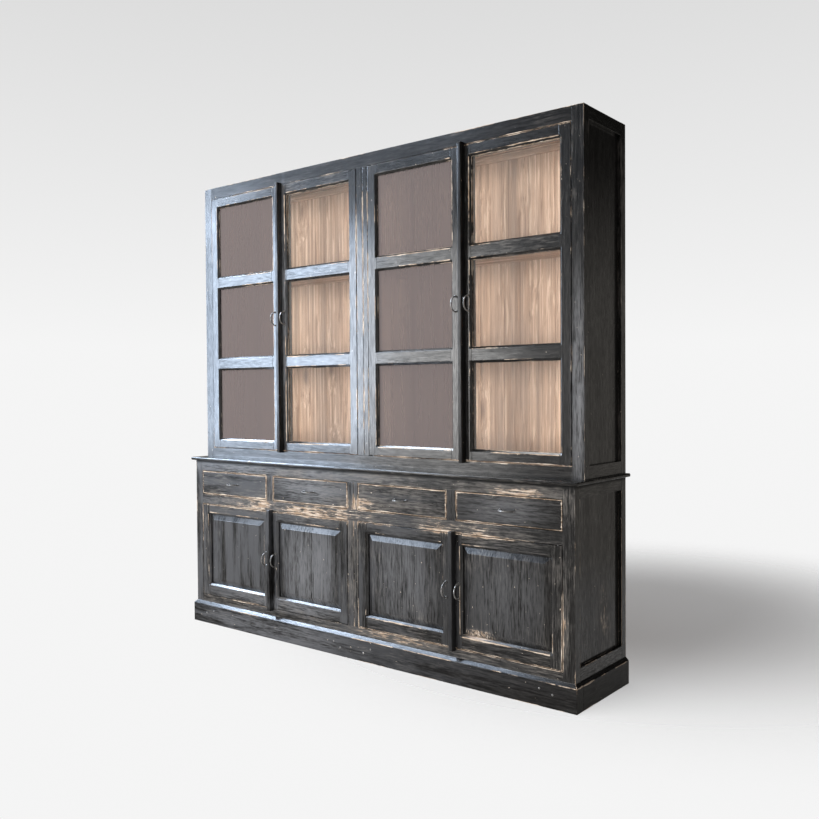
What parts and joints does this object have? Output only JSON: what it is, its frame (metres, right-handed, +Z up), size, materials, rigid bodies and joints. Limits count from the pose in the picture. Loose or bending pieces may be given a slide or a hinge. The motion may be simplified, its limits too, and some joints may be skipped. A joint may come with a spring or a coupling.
{
  "type": "buffet cabinet",
  "caption": "Tall two-tier buffet cabinet in worn black lacquer: glazed pivot-hung doors over a shallow counter, a row of drawers and raised-panel doors on a bevelled plinth.",
  "frame": {"origin": "on the floor under the middle of the whole cabinet, pulls included", "axes": "+X to the viewer's right when facing the doors, +Y to the back, +Z up"},
  "size_m": [2.19, 0.455, 2.2],
  "materials": {
    "black_lacquer": "worn satin lacquer",
    "bare_wood": "bare, dry",
    "glass": "clear",
    "iron": "dark, rubbed bright"
  },
  "bodies": {
    "carcass": {"counter_board": "black_lacquer", "door_pins": "iron", "drawer_runners": "bare_wood", "lower_back_frame": "bare_wood", "lower_back_planks": "bare_wood", "lower_boards": "bare_wood", "lower_front_frame": "black_lacquer", "lower_posts": "black_lacquer", "lower_side_panels": "black_lacquer", "lower_side_rails": "black_lacquer", "plinth_boards": "black_lacquer", "upper_back_frame": "bare_wood", "upper_back_planks": "bare_wood", "upper_bearers": "bare_wood", "upper_boards": "bare_wood", "upper_front_frame": "black_lacquer", "upper_posts": "black_lacquer", "upper_side_panels": "black_lacquer", "upper_side_rails": "black_lacquer"},
    "upper_door_1": {"upper_door_1_frame": "black_lacquer", "upper_door_1_panes": "glass", "upper_door_1_pull": "iron"},
    "upper_door_2": {"upper_door_2_batten": "black_lacquer", "upper_door_2_frame": "black_lacquer", "upper_door_2_panes": "glass", "upper_door_2_pull": "iron"},
    "upper_door_3": {"upper_door_3_frame": "black_lacquer", "upper_door_3_panes": "glass", "upper_door_3_pull": "iron"},
    "upper_door_4": {"upper_door_4_batten": "black_lacquer", "upper_door_4_frame": "black_lacquer", "upper_door_4_panes": "glass", "upper_door_4_pull": "iron"},
    "lower_door_1": {"lower_door_1_frame": "black_lacquer", "lower_door_1_panel": "black_lacquer", "lower_door_1_pull": "iron"},
    "lower_door_2": {"lower_door_2_batten": "black_lacquer", "lower_door_2_frame": "black_lacquer", "lower_door_2_panel": "black_lacquer", "lower_door_2_pull": "iron"},
    "lower_door_3": {"lower_door_3_frame": "black_lacquer", "lower_door_3_panel": "black_lacquer", "lower_door_3_pull": "iron"},
    "lower_door_4": {"lower_door_4_batten": "black_lacquer", "lower_door_4_frame": "black_lacquer", "lower_door_4_panel": "black_lacquer", "lower_door_4_pull": "iron"},
    "drawer_1": {"drawer_1_box": "bare_wood", "drawer_1_front": "black_lacquer", "drawer_1_pull": "iron"},
    "drawer_2": {"drawer_2_box": "bare_wood", "drawer_2_front": "black_lacquer", "drawer_2_pull": "iron"},
    "drawer_3": {"drawer_3_box": "bare_wood", "drawer_3_front": "black_lacquer", "drawer_3_pull": "iron"},
    "drawer_4": {"drawer_4_box": "bare_wood", "drawer_4_front": "black_lacquer", "drawer_4_pull": "iron"}
  },
  "joints": [
    {"name": "upper_door_1_hinge", "type": "hinge", "parent": "carcass", "child": "upper_door_1", "pos_m": [-1.002, -0.1095, 1.5125], "axis": [0, 0, -1], "range_deg": [0, 110]},
    {"name": "upper_door_2_hinge", "type": "hinge", "parent": "carcass", "child": "upper_door_2", "pos_m": [-0.055, -0.1095, 1.5125], "axis": [0, 0, 1], "range_deg": [0, 90]},
    {"name": "upper_door_3_hinge", "type": "hinge", "parent": "carcass", "child": "upper_door_3", "pos_m": [0.055, -0.1095, 1.5125], "axis": [0, 0, -1], "range_deg": [0, 90]},
    {"name": "upper_door_4_hinge", "type": "hinge", "parent": "carcass", "child": "upper_door_4", "pos_m": [1.002, -0.1095, 1.5125], "axis": [0, 0, 1], "range_deg": [0, 110]},
    {"name": "lower_door_1_hinge", "type": "hinge", "parent": "carcass", "child": "lower_door_1", "pos_m": [-1.002, -0.1835, 0.3705], "axis": [0, 0, -1], "range_deg": [0, 110]},
    {"name": "lower_door_2_hinge", "type": "hinge", "parent": "carcass", "child": "lower_door_2", "pos_m": [-0.053, -0.1835, 0.3705], "axis": [0, 0, 1], "range_deg": [0, 90]},
    {"name": "lower_door_3_hinge", "type": "hinge", "parent": "carcass", "child": "lower_door_3", "pos_m": [0.053, -0.1835, 0.3705], "axis": [0, 0, -1], "range_deg": [0, 90]},
    {"name": "lower_door_4_hinge", "type": "hinge", "parent": "carcass", "child": "lower_door_4", "pos_m": [1.002, -0.1835, 0.3705], "axis": [0, 0, 1], "range_deg": [0, 110]},
    {"name": "drawer_1_slide", "type": "slide", "parent": "carcass", "child": "drawer_1", "axis": [0, -1, 0], "range_m": [0, 0.27]},
    {"name": "drawer_2_slide", "type": "slide", "parent": "carcass", "child": "drawer_2", "axis": [0, -1, 0], "range_m": [0, 0.27]},
    {"name": "drawer_3_slide", "type": "slide", "parent": "carcass", "child": "drawer_3", "axis": [0, -1, 0], "range_m": [0, 0.27]},
    {"name": "drawer_4_slide", "type": "slide", "parent": "carcass", "child": "drawer_4", "axis": [0, -1, 0], "range_m": [0, 0.27]}
  ]
}
